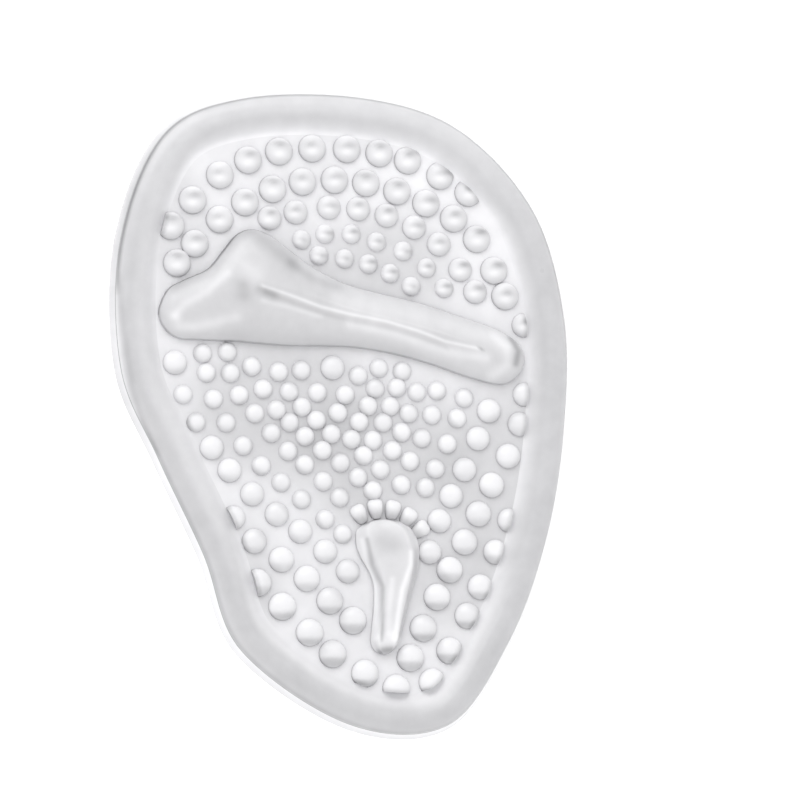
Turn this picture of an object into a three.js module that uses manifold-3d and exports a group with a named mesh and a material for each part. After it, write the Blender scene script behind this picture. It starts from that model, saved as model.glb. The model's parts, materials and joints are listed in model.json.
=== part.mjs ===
// Forefoot pad for a shoe, moulded in one piece of clear gel.
// A flat underside lies on the insole. The upper side has a rolled border round a dished field,
// with a ridge that lies under the toes, a keyhole-shaped pad near the heel end, rows of round nubs
// and a fan of petals on the head of the keyhole.
// Millimetres. +Y runs to the toe end, +Z is up, and the underside lies at Z = 0.

import * as THREE from 'three';
import { ParametricGeometry } from 'three/addons/geometries/ParametricGeometry.js';
import { mergeVertices } from 'three/addons/utils/BufferGeometryUtils.js';
import Module from 'manifold-3d';

const wasm = await Module();
wasm.setup();

// Driving sizes
const PAD_LENGTH = 98;
const PAD_WIDTH = 69.2;
const PATTERN_END_MARGIN = 0.5;
const PATTERN_SIDE_MARGIN = 0.6;
const FLOOR_THICKNESS = 1.8;
const EDGE_HEIGHT = 2.0;
const EDGE_SLOPE = 0.7;
const BORDER_WIDTH = 6.7;
const BORDER_HEIGHT = 3.4;
const RIDGE_RISE = 3.4;
const RIDGE_FULLNESS = 2.3;
const DROP_RISE = 2.2;
const DROP_FULLNESS = 3;
const NUB_DIAMETER = { large: 4.2, medium: 3.65, small: 2.9 };
const NUB_ROUNDNESS = 0.62;
const PETAL_LENGTH = 3.1;
const PETAL_WIDTH = 2.3;
const PETAL_RISE = 1.1;
const PETAL_COUNT = 5;

// Share of the border's width at which it is highest
const BORDER_CREST = 0.45;

// Share of the border's width by which the nubs reach over its foot at the toe end. The reach fades
// out to the right, from the first to the second share of the half width.
const TOE_REACH = 0.13;
const TOE_REACH_FADE = [0.3, 0.65];

// Pattern of what is raised from the floor, which follows the pad a little way in from its outline
const PATTERN_LENGTH = PAD_LENGTH - 2 * PATTERN_END_MARGIN;
const PATTERN_WIDTH = PAD_WIDTH - 2 * PATTERN_SIDE_MARGIN;

// Fineness of the facets
const OUTLINE_SIDES = 80;
const ROLL_STEPS = 3;
const SLOPE_STEPS = 4;
const SECTION_STEPS = 10;
const NUB_SIDES = 8;
const NUB_LEVELS = { large: [0, 36, 66], medium: [0, 36, 66], small: [0, 45] };
const PETAL_SIDES = 8;

// What is raised from the floor starts inside it, so that both join in one body
const ROOT = FLOOR_THICKNESS / 2;

// Corners of the outline, from the toe end round by the left side.
// across is a share of the pad's width, along is a share of its length.
const OUTLINE = [
  { across: -0.133, along: 0.499 },
  { across: -0.323, along: 0.46 },
  { across: -0.456, along: 0.309 },
  { across: -0.501, along: 0.119 },
  { across: -0.453, along: -0.025 },
  { across: -0.391, along: -0.177 },
  { across: -0.344, along: -0.329 },
  { across: -0.133, along: -0.467 },
  { across: 0.087, along: -0.492 },
  { across: 0.257, along: -0.379 },
  { across: 0.379, along: -0.231 },
  { across: 0.458, along: -0.071 },
  { across: 0.499, along: 0.094 },
  { across: 0.47, along: 0.263 },
  { across: 0.335, along: 0.403 },
  { across: 0.135, along: 0.473 },
];

// Sections of the toe ridge, from left to right. across is a share of the pattern's width,
// toe, heel and crest are shares of its length, and rise is a share of the ridge's rise.
const RIDGE = [
  { across: -0.398, toe: 0.19, heel: 0.19, crest: 0.19, rise: 0 },
  { across: -0.389, toe: 0.209, heel: 0.168, crest: 0.189, rise: 0.42 },
  { across: -0.365, toe: 0.229, heel: 0.152, crest: 0.19, rise: 0.66 },
  { across: -0.325, toe: 0.239, heel: 0.145, crest: 0.193, rise: 0.78 },
  { across: -0.274, toe: 0.249, heel: 0.138, crest: 0.197, rise: 0.88 },
  { across: -0.235, toe: 0.272, heel: 0.133, crest: 0.204, rise: 0.96 },
  { across: -0.2, toe: 0.293, heel: 0.127, crest: 0.21, rise: 1 },
  { across: -0.164, toe: 0.299, heel: 0.121, crest: 0.209, rise: 1 },
  { across: -0.125, toe: 0.286, heel: 0.115, crest: 0.202, rise: 0.97 },
  { across: -0.08, toe: 0.254, heel: 0.11, crest: 0.188, rise: 0.92 },
  { across: -0.036, toe: 0.224, heel: 0.105, crest: 0.172, rise: 0.87 },
  { across: 0.025, toe: 0.195, heel: 0.096, crest: 0.151, rise: 0.82 },
  { across: 0.1, toe: 0.172, heel: 0.079, crest: 0.13, rise: 0.79 },
  { across: 0.18, toe: 0.15, heel: 0.055, crest: 0.106, rise: 0.77 },
  { across: 0.26, toe: 0.122, heel: 0.026, crest: 0.079, rise: 0.75 },
  { across: 0.33, toe: 0.097, heel: 0.007, crest: 0.054, rise: 0.7 },
  { across: 0.37, toe: 0.077, heel: 0.015, crest: 0.045, rise: 0.58 },
  { across: 0.388, toe: 0.06, heel: 0.03, crest: 0.044, rise: 0.38 },
  { across: 0.395, toe: 0.044, heel: 0.044, crest: 0.044, rise: 0 },
];

// Sections of the keyhole pad, from its head to its tail. along is a share of the pattern's length,
// left and right are shares of its width, and rise is a share of the keyhole's rise.
const DROP = [
  { along: -0.167, left: 0.006, right: 0.006, rise: 0 },
  { along: -0.17, left: -0.022, right: 0.034, rise: 0.42 },
  { along: -0.178, left: -0.043, right: 0.061, rise: 0.72 },
  { along: -0.19, left: -0.049, right: 0.077, rise: 0.9 },
  { along: -0.205, left: -0.05, right: 0.085, rise: 0.98 },
  { along: -0.223, left: -0.044, right: 0.086, rise: 1 },
  { along: -0.245, left: -0.032, right: 0.079, rise: 1 },
  { along: -0.267, left: -0.028, right: 0.066, rise: 1 },
  { along: -0.299, left: -0.036, right: 0.045, rise: 0.98 },
  { along: -0.329, left: -0.048, right: 0.026, rise: 0.95 },
  { along: -0.351, left: -0.055, right: 0.012, rise: 0.88 },
  { along: -0.365, left: -0.047, right: -0.003, rise: 0.66 },
  { along: -0.372, left: -0.027, right: -0.027, rise: 0 },
];

// Fan on which the petals stand round the keyhole's head. across and radius are shares of the
// pattern's width, along is a share of its length, and first and last are directions in degrees.
const FAN = { across: 0.003, along: -0.2235, radius: 0.103, first: 109, last: 25 };

// Rows of nubs. path holds the points of a guide curve as [share of the pattern's width, share of its
// length], and count nubs stand on it in equal steps, first and last the size at each end.
const NUB_ROWS = [
  // Toe end, from the outer row inwards
  { count: 11, first: 'large', last: 'large',
    path: [[-0.3375, 0.3225], [-0.2325, 0.38], [-0.12, 0.4075], [0.0025, 0.4075], [0.1275, 0.39],
      [0.23, 0.36], [0.3325, 0.305]] },
  { count: 14, first: 'large', last: 'large',
    path: [[-0.3375, 0.265], [-0.2175, 0.325], [-0.0775, 0.3575], [0.075, 0.35], [0.215, 0.3075],
      [0.3275, 0.24], [0.375, 0.14]] },
  { count: 1, first: 'medium', last: 'medium', path: [[0.405, 0.0915]] },
  { count: 9, first: 'medium', last: 'medium',
    path: [[-0.1175, 0.312], [0.0175, 0.3145], [0.1425, 0.2895], [0.2475, 0.234], [0.31, 0.1535]] },
  { count: 7, first: 'small', last: 'small',
    path: [[-0.055, 0.272], [0.03, 0.2745], [0.11, 0.2515], [0.19, 0.219], [0.2425, 0.166]] },
  { count: 5, first: 'small', last: 'small',
    path: [[-0.0225, 0.244], [0.0525, 0.229], [0.1125, 0.209], [0.17, 0.1765]] },
  // Left of the keyhole, from the outer row inwards
  { count: 6, first: 'large', last: 'large',
    path: [[-0.28, -0.233], [-0.199, -0.3065], [-0.125, -0.3695], [-0.015, -0.4245]] },
  { count: 6, first: 'medium', last: 'large',
    path: [[-0.309, -0.13], [-0.26, -0.18], [-0.1925, -0.22], [-0.14, -0.2675], [-0.085, -0.3125]] },
  { count: 1, first: 'medium', last: 'medium', path: [[-0.379, 0.116]] },
  { count: 2, first: 'small', last: 'small', path: [[-0.373, 0.0665], [-0.355, 0.0215]] },
  { count: 7, first: 'medium', last: 'medium',
    path: [[-0.33, -0.02], [-0.28, -0.08], [-0.2125, -0.135], [-0.145, -0.1825], [-0.0775, -0.2375]] },
  { count: 10, first: 'small', last: 'small',
    path: [[-0.315, 0.1235], [-0.305, 0.043], [-0.245, -0.0425], [-0.1625, -0.1105], [-0.075, -0.1805]] },
  { count: 9, first: 'small', last: 'small',
    path: [[-0.26, 0.12], [-0.2575, 0.065], [-0.2175, 0.015], [-0.17, -0.0375], [-0.12, -0.0775],
      [-0.0675, -0.125]] },
  { count: 9, first: 'small', last: 'small',
    path: [[-0.2125, 0.0925], [-0.1825, 0.0325], [-0.145, -0.005], [-0.095, -0.045], [-0.04, -0.0825],
      [0.0075, -0.1225]] },
  { count: 5, first: 'small', last: 'small',
    path: [[-0.155, 0.078], [-0.1325, 0.0355], [-0.1, 0.0055], [-0.0625, -0.0275]] },
  { count: 3, first: 'small', last: 'small',
    path: [[-0.105, 0.0755], [-0.0775, 0.038], [-0.04, 0.003]] },
  // Under the middle of the ridge
  { count: 1, first: 'medium', last: 'medium', path: [[-0.035, 0.072]] },
  // Right of the keyhole, from the outer row inwards
  { count: 6, first: 'medium', last: 'large',
    path: [[0.2985, -0.2], [0.2225, -0.279], [0.155, -0.3475], [0.067, -0.4245]] },
  { count: 10, first: 'medium', last: 'large',
    path: [[0.381, -0.0135], [0.342, -0.082], [0.2725, -0.1425], [0.2125, -0.2025], [0.1475, -0.26],
      [0.09, -0.3175], [0.0275, -0.3825]] },
  { count: 6, first: 'medium', last: 'medium',
    path: [[0.295, -0.03], [0.25, -0.08], [0.1975, -0.133], [0.1525, -0.173], [0.11, -0.2285]] },
  { count: 5, first: 'small', last: 'small',
    path: [[0.245, -0.0045], [0.19, -0.07], [0.125, -0.1305]] },
  { count: 5, first: 'small', last: 'small',
    path: [[0.1875, 0.013], [0.1575, -0.035], [0.1125, -0.075], [0.0725, -0.1205]] },
  { count: 5, first: 'small', last: 'small',
    path: [[0.1425, 0.0155], [0.1075, -0.025], [0.0775, -0.0575], [0.0325, -0.0925]] },
  { count: 6, first: 'small', last: 'small',
    path: [[0.1175, 0.0505], [0.085, 0.008], [0.0475, -0.03], [0, -0.0675]] },
  { count: 5, first: 'small', last: 'small',
    path: [[0.0675, 0.0605], [0.045, 0.0205], [0.0125, -0.0075], [-0.02, -0.04]] },
  { count: 2, first: 'small', last: 'small', path: [[0.019, 0.054], [-0.017, 0.028]] },
];

const shareToPlace = (across, along) => (
  new THREE.Vector2(across * PATTERN_WIDTH, along * PATTERN_LENGTH)
);

// A closed, merged geometry as a solid that can be joined
function toSolid(geometry) {
  const bare = geometry.clone();
  bare.deleteAttribute('normal');
  bare.deleteAttribute('uv');
  const merged = mergeVertices(bare, 1e-5);
  const corners = merged.index.array;
  const kept = [];
  for (let i = 0; i < corners.length; i += 3) {
    const [a, b, c] = corners.slice(i, i + 3);
    if (a !== b && b !== c && c !== a) kept.push(a, b, c);
  }
  return new wasm.Manifold(new wasm.Mesh({
    numProp: 3,
    vertProperties: new Float32Array(merged.attributes.position.array),
    triVerts: new Uint32Array(kept),
  }));
}

function toGeometry(solid) {
  const mesh = solid.getMesh();
  const geometry = new THREE.BufferGeometry();
  geometry.setAttribute('position', new THREE.BufferAttribute(new Float32Array(mesh.vertProperties), 3));
  geometry.setIndex(new THREE.BufferAttribute(new Uint32Array(mesh.triVerts), 1));
  geometry.computeVertexNormals();
  return geometry;
}

// Skin over rows of points, where each row is a closed loop with as many points as the others
function skin(rows) {
  const around = rows[0].length;
  return new ParametricGeometry((u, v, target) => {
    const row = rows[Math.round(v * (rows.length - 1))];
    target.copy(row[Math.round(u * around) % around]);
  }, around, rows.length - 1);
}

// Outline of the pad, with its box brought to the pad's exact width and length
function outlinePoints() {
  const corners = OUTLINE.map(({ across, along }) => new THREE.Vector3(across, along, 0));
  const curve = new THREE.CatmullRomCurve3(corners, true, 'catmullrom', 0.5);
  const points = curve.getSpacedPoints(OUTLINE_SIDES).slice(0, -1);
  const box = new THREE.Box3().setFromPoints(points);
  const size = box.getSize(new THREE.Vector3());
  const middle = box.getCenter(new THREE.Vector3());
  return points.map(({ x, y }) => new THREE.Vector2(
    ((x - middle.x) / size.x) * PAD_WIDTH,
    ((y - middle.y) / size.y) * PAD_LENGTH,
  ));
}

// Unit vectors square to the outline, pointing into the pad
function inwardNormals(points) {
  return points.map((_, i) => {
    const before = points.at(i - 1);
    const after = points[(i + 1) % points.length];
    const along = after.clone().sub(before).normalize();
    return new THREE.Vector2(-along.y, along.x);
  });
}

// Section of the border as steps of [inset, height], from the underside's rim to the floor
function borderSection() {
  const crest = BORDER_WIDTH * BORDER_CREST;
  const steps = [[0, 0], [EDGE_SLOPE, EDGE_HEIGHT]];
  for (let i = 1; i <= ROLL_STEPS; i += 1) {
    const turn = (i / ROLL_STEPS) * Math.PI / 2;
    steps.push([
      crest - (crest - EDGE_SLOPE) * Math.cos(turn),
      EDGE_HEIGHT + (BORDER_HEIGHT - EDGE_HEIGHT) * Math.sin(turn),
    ]);
  }
  for (let i = 1; i <= SLOPE_STEPS; i += 1) {
    const way = i / SLOPE_STEPS;
    const drop = (1 - Math.cos(way * Math.PI)) / 2;
    steps.push([
      crest + (BORDER_WIDTH - crest) * way,
      BORDER_HEIGHT + (FLOOR_THICKNESS - BORDER_HEIGHT) * drop,
    ]);
  }
  return steps;
}

// Sole of the pad with its rolled border and the floor of the field
function makeBody() {
  const points = outlinePoints();
  const inward = inwardNormals(points);
  const pole = (height) => points.map(() => new THREE.Vector3(0, 0, height));
  const loops = borderSection().map(([inset, height]) => points.map((point, i) => new THREE.Vector3(
    point.x + inward[i].x * inset,
    point.y + inward[i].y * inset,
    height,
  )));
  return toSolid(skin([pole(0), ...loops, pole(FLOOR_THICKNESS)]));
}

// Loop round one section of a raised form. Its low side is at -1, its high side at 1.
function raisedLoop(rise, fullness, place) {
  const loop = [place(1, -ROOT)];
  for (let i = 0; i <= SECTION_STEPS; i += 1) {
    const turn = (i / SECTION_STEPS) * Math.PI;
    const side = Math.cos(turn);
    loop.push(place(side, rise * (1 - Math.abs(side) ** fullness) ** (1 / fullness)));
  }
  loop.push(place(-1, -ROOT));
  return loop;
}

// Field inside the border's foot, as a tall block that nubs are trimmed to
function makeField() {
  const points = outlinePoints();
  const inward = inwardNormals(points);
  const foot = points.map((point, i) => {
    const toward = Math.max(0, point.y / (PAD_LENGTH / 2));
    const right = THREE.MathUtils.smoothstep(point.x / (PAD_WIDTH / 2), ...TOE_REACH_FADE);
    const reach = TOE_REACH * toward ** 2 * (1 - right);
    return point.clone().addScaledVector(inward[i], BORDER_WIDTH * (1 - reach));
  });
  const block = new THREE.ExtrudeGeometry(new THREE.Shape(foot), {
    depth: BORDER_HEIGHT + NUB_DIAMETER.large,
    bevelEnabled: false,
  });
  return toSolid(block);
}

// Ridge across the pad, which the toes curl over
function makeRidge() {
  const rows = RIDGE.map(({ across, toe, heel, crest, rise }) => (
    raisedLoop(rise * RIDGE_RISE, RIDGE_FULLNESS, (side, height) => {
      const along = side > 0 ? crest + (toe - crest) * side : crest + (crest - heel) * side;
      const { x, y } = shareToPlace(across, along);
      return new THREE.Vector3(x, y, FLOOR_THICKNESS + height);
    })
  ));
  return toSolid(skin(rows));
}

// Keyhole-shaped pad behind the ball of the foot
function makeDrop() {
  const rows = DROP.map(({ along, left, right, rise }) => (
    raisedLoop(rise * DROP_RISE, DROP_FULLNESS, (side, height) => {
      const { x, y } = shareToPlace(left + (right - left) * (side + 1) / 2, along);
      return new THREE.Vector3(x, y, FLOOR_THICKNESS + height);
    })
  ));
  return toSolid(skin(rows));
}

// Dome on the floor, from the angles in degrees at which its rings lie
function makeDome(radius, rise, sides, levels) {
  const profile = [new THREE.Vector2(0, -ROOT), new THREE.Vector2(radius, -ROOT)];
  for (const level of levels) {
    const turn = THREE.MathUtils.degToRad(level);
    profile.push(new THREE.Vector2(radius * Math.cos(turn), rise * Math.sin(turn)));
  }
  profile.push(new THREE.Vector2(0, rise));
  return new THREE.LatheGeometry(profile, sides).rotateX(Math.PI / 2);
}

function makeNubs() {
  const field = makeField();
  const nubs = [];
  for (const { count, first, last, path } of NUB_ROWS) {
    const guide = new THREE.SplineCurve(path.map(([across, along]) => shareToPlace(across, along)));
    for (let i = 0; i < count; i += 1) {
      const way = count > 1 ? i / (count - 1) : 0;
      const { x, y } = guide.getPoint(way);
      const size = way < 0.5 ? first : last;
      const radius = THREE.MathUtils.lerp(NUB_DIAMETER[first], NUB_DIAMETER[last], way) / 2;
      const dome = makeDome(radius, radius * NUB_ROUNDNESS, NUB_SIDES, NUB_LEVELS[size]);
      nubs.push(toSolid(dome.translate(x, y, FLOOR_THICKNESS)).intersect(field));
    }
  }
  return nubs;
}

// Petals that spread from the head of the keyhole
function makePetals() {
  const middle = shareToPlace(FAN.across, FAN.along);
  const reach = FAN.radius * PATTERN_WIDTH;
  const petals = [];
  for (let i = 0; i < PETAL_COUNT; i += 1) {
    const turn = THREE.MathUtils.degToRad(THREE.MathUtils.lerp(FAN.first, FAN.last, i / (PETAL_COUNT - 1)));
    const dome = makeDome(1, PETAL_RISE, PETAL_SIDES, NUB_LEVELS.small)
      .scale(PETAL_LENGTH / 2, PETAL_WIDTH / 2, 1)
      .rotateZ(turn)
      .translate(middle.x + reach * Math.cos(turn), middle.y + reach * Math.sin(turn), FLOOR_THICKNESS);
    petals.push(toSolid(dome));
  }
  return petals;
}

const gel = new THREE.MeshStandardMaterial({ color: 0xeceded, roughness: 0.28, metalness: 0 });

const raised = [makeRidge(), makeDrop(), ...makeNubs(), ...makePetals()];
const solid = raised.reduce((whole, piece) => whole.add(piece), makeBody());

const pad = new THREE.Mesh(toGeometry(solid), gel);
pad.name = 'gel_pad';

const forefootPad = new THREE.Group();
forefootPad.add(pad);

export default forefootPad;
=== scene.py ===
"""Finish of a clear gel forefoot pad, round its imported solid.

The pad is one moulded piece: a sole with a rolled border and a dished field, a ridge under the
toes, a keyhole-shaped pad with a fan of petals, and rows of round nubs. Metres, +Y to the toe end.
"""

import json
import math
from collections import namedtuple

import bmesh
import bpy
from bpy.props import FloatProperty, FloatVectorProperty, IntProperty, PointerProperty
from mathutils import Matrix, Vector
from mathutils.kdtree import KDTree

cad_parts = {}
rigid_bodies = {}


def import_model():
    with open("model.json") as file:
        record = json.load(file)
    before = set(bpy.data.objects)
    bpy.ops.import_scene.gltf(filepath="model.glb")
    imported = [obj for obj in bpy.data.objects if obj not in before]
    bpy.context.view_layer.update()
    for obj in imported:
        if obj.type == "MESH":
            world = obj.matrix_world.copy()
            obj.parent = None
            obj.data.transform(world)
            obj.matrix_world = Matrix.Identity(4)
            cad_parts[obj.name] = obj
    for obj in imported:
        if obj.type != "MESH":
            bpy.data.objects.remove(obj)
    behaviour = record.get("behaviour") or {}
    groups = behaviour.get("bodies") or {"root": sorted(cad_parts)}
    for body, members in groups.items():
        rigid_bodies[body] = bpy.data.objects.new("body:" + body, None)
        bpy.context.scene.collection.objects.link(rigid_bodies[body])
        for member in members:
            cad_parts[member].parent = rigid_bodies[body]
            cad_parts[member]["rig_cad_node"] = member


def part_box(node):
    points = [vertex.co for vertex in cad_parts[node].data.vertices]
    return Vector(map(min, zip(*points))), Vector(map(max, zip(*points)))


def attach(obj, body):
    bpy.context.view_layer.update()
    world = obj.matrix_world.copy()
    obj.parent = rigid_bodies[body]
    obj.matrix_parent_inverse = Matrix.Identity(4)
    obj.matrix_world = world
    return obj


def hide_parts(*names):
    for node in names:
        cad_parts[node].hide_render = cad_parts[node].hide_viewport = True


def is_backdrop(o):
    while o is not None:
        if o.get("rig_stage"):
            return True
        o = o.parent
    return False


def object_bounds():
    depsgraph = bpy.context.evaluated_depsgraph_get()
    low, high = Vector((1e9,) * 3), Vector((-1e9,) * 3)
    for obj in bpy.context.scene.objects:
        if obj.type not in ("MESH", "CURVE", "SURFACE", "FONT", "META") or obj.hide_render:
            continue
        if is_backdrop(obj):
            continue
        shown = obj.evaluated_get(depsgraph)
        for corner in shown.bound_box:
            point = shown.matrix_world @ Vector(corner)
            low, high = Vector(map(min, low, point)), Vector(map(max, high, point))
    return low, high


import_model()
CAD_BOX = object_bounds()

bl_info = {
    "name": "Gel forefoot pad",
    "version": (1, 0, 0),
    "blender": (4, 5, 0),
    "location": "3D View > Sidebar > Gel pad",
    "description": "Moulds a clear gel forefoot pad with its ridge, keyhole pad, petals and nubs",
    "category": "Add Mesh",
}

MM = 0.001
NODE = "gel_pad"
PIECE = "forefoot_pad"
LOW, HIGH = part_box(NODE)

# Corners of the outline as shares of the pad's width and length, from the toe end round by the left
Corner = namedtuple("Corner", "across along")
OUTLINE = tuple(Corner(*row) for row in (
    (-0.133, 0.499), (-0.323, 0.46), (-0.456, 0.309), (-0.501, 0.119), (-0.453, -0.025),
    (-0.391, -0.177), (-0.344, -0.329), (-0.133, -0.467), (0.087, -0.492), (0.257, -0.379),
    (0.379, -0.231), (0.458, -0.071), (0.499, 0.094), (0.47, 0.263), (0.335, 0.403), (0.135, 0.473),
))

# What follows is in shares of the pattern's width and length, which is the pad's less its margins

# Sections of the toe ridge, left to right: across is a share of the width, toe, heel and crest are
# shares of the length, and rise is a share of the ridge's rise
RidgeSection = namedtuple("RidgeSection", "across toe heel crest rise")
RIDGE = tuple(RidgeSection(*row) for row in (
    (-0.398, 0.19, 0.19, 0.19, 0), (-0.389, 0.209, 0.168, 0.189, 0.42),
    (-0.365, 0.229, 0.152, 0.19, 0.66), (-0.325, 0.239, 0.145, 0.193, 0.78),
    (-0.274, 0.249, 0.138, 0.197, 0.88), (-0.235, 0.272, 0.133, 0.204, 0.96),
    (-0.2, 0.293, 0.127, 0.21, 1), (-0.164, 0.299, 0.121, 0.209, 1),
    (-0.125, 0.286, 0.115, 0.202, 0.97), (-0.08, 0.254, 0.11, 0.188, 0.92),
    (-0.036, 0.224, 0.105, 0.172, 0.87), (0.025, 0.195, 0.096, 0.151, 0.82),
    (0.1, 0.172, 0.079, 0.13, 0.79), (0.18, 0.15, 0.055, 0.106, 0.77),
    (0.26, 0.122, 0.026, 0.079, 0.75), (0.33, 0.097, 0.007, 0.054, 0.7),
    (0.37, 0.077, 0.015, 0.045, 0.58), (0.388, 0.06, 0.03, 0.044, 0.38),
    (0.395, 0.044, 0.044, 0.044, 0),
))

# Sections of the keyhole pad, head to tail: along is a share of the length, left and right are
# shares of the width, and rise is a share of the keyhole's rise
KeyholeSection = namedtuple("KeyholeSection", "along left right rise")
KEYHOLE = tuple(KeyholeSection(*row) for row in (
    (-0.167, 0.006, 0.006, 0), (-0.17, -0.022, 0.034, 0.42),
    (-0.178, -0.043, 0.061, 0.72), (-0.19, -0.049, 0.077, 0.9),
    (-0.205, -0.05, 0.085, 0.98), (-0.223, -0.044, 0.086, 1),
    (-0.245, -0.032, 0.079, 1), (-0.267, -0.028, 0.066, 1),
    (-0.299, -0.036, 0.045, 0.98), (-0.329, -0.048, 0.026, 0.95),
    (-0.351, -0.055, 0.012, 0.88), (-0.365, -0.047, -0.003, 0.66),
    (-0.372, -0.027, -0.027, 0),
))

# Fan of the petals: across and radius are shares of the width, along of the length, and the
# first and last petal point in these directions, in degrees
Fan = namedtuple("Fan", "across along radius first last")
FAN = Fan(0.003, -0.2235, 0.103, 109, 25)

# Rows of nubs: count nubs stand in equal steps on path, a guide curve through points as (share of
# width, share of length), from the first size to the last. Rows with no sizes are small.
Row = namedtuple("Row", "count path first last", defaults=("small", "small"))
NUB_ROWS = tuple(Row(*row) for row in (
    # At the toe end
    (11, ((-0.3375, 0.3225), (-0.2325, 0.38), (-0.12, 0.4075), (0.0025, 0.4075), (0.1275, 0.39),
     (0.23, 0.36), (0.3325, 0.305)), "large", "large"),
    (14, ((-0.3375, 0.265), (-0.2175, 0.325), (-0.0775, 0.3575), (0.075, 0.35), (0.215, 0.3075),
     (0.3275, 0.24), (0.375, 0.14)), "large", "large"),
    (1, ((0.405, 0.0915),), "medium", "medium"),
    (9, ((-0.1175, 0.312), (0.0175, 0.3145), (0.1425, 0.2895), (0.2475, 0.234),
     (0.31, 0.1535)), "medium", "medium"),
    (7, ((-0.055, 0.272), (0.03, 0.2745), (0.11, 0.2515), (0.19, 0.219), (0.2425, 0.166))),
    (5, ((-0.0225, 0.244), (0.0525, 0.229), (0.1125, 0.209), (0.17, 0.1765))),
    # Behind the ridge on the left
    (6, ((-0.28, -0.233), (-0.199, -0.3065), (-0.125, -0.3695), (-0.015, -0.4245)), "large", "large"),
    (6, ((-0.309, -0.13), (-0.26, -0.18), (-0.1925, -0.22), (-0.14, -0.2675),
     (-0.085, -0.3125)), "medium", "large"),
    (1, ((-0.379, 0.116),), "medium", "medium"),
    (2, ((-0.373, 0.0665), (-0.355, 0.0215))),
    (7, ((-0.33, -0.02), (-0.28, -0.08), (-0.2125, -0.135), (-0.145, -0.1825),
     (-0.0775, -0.2375)), "medium", "medium"),
    (10, ((-0.315, 0.1235), (-0.305, 0.043), (-0.245, -0.0425), (-0.1625, -0.1105), (-0.075, -0.1805))),
    (9, ((-0.26, 0.12), (-0.2575, 0.065), (-0.2175, 0.015), (-0.17, -0.0375), (-0.12, -0.0775),
     (-0.0675, -0.125))),
    (9, ((-0.2125, 0.0925), (-0.1825, 0.0325), (-0.145, -0.005), (-0.095, -0.045), (-0.04, -0.0825),
     (0.0075, -0.1225))),
    (5, ((-0.155, 0.078), (-0.1325, 0.0355), (-0.1, 0.0055), (-0.0625, -0.0275))),
    (3, ((-0.105, 0.0755), (-0.0775, 0.038), (-0.04, 0.003))),
    # Behind the ridge in the middle
    (1, ((-0.035, 0.072),), "medium", "medium"),
    # Behind the ridge on the right
    (6, ((0.2985, -0.2), (0.2225, -0.279), (0.155, -0.3475), (0.067, -0.4245)), "medium", "large"),
    (10, ((0.381, -0.0135), (0.342, -0.082), (0.2725, -0.1425), (0.2125, -0.2025), (0.1475, -0.26),
     (0.09, -0.3175), (0.0275, -0.3825)), "medium", "large"),
    (6, ((0.295, -0.03), (0.25, -0.08), (0.1975, -0.133), (0.1525, -0.173),
     (0.11, -0.2285)), "medium", "medium"),
    (5, ((0.245, -0.0045), (0.19, -0.07), (0.125, -0.1305))),
    (5, ((0.1875, 0.013), (0.1575, -0.035), (0.1125, -0.075), (0.0725, -0.1205))),
    (5, ((0.1425, 0.0155), (0.1075, -0.025), (0.0775, -0.0575), (0.0325, -0.0925))),
    (6, ((0.1175, 0.0505), (0.085, 0.008), (0.0475, -0.03), (0, -0.0675))),
    (5, ((0.0675, 0.0605), (0.045, 0.0205), (0.0125, -0.0075), (-0.02, -0.04))),
    (2, ((0.019, 0.054), (-0.017, 0.028))),
))

# The floor lies this far below the flat underside, so that no two faces share a plane.
FLOOR_GAP = 0.00002

# Forms that the pad is fused from, in the order of the work meshes' material slots
FORM_COUNT = 10
(UNDERSIDE, WALL, LIP, BORDER, FIELD,
 RIDGE_FORM, KEYHOLE_FORM, PETAL_FORM, NUB_FORM, CUT) = range(FORM_COUNT)

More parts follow.
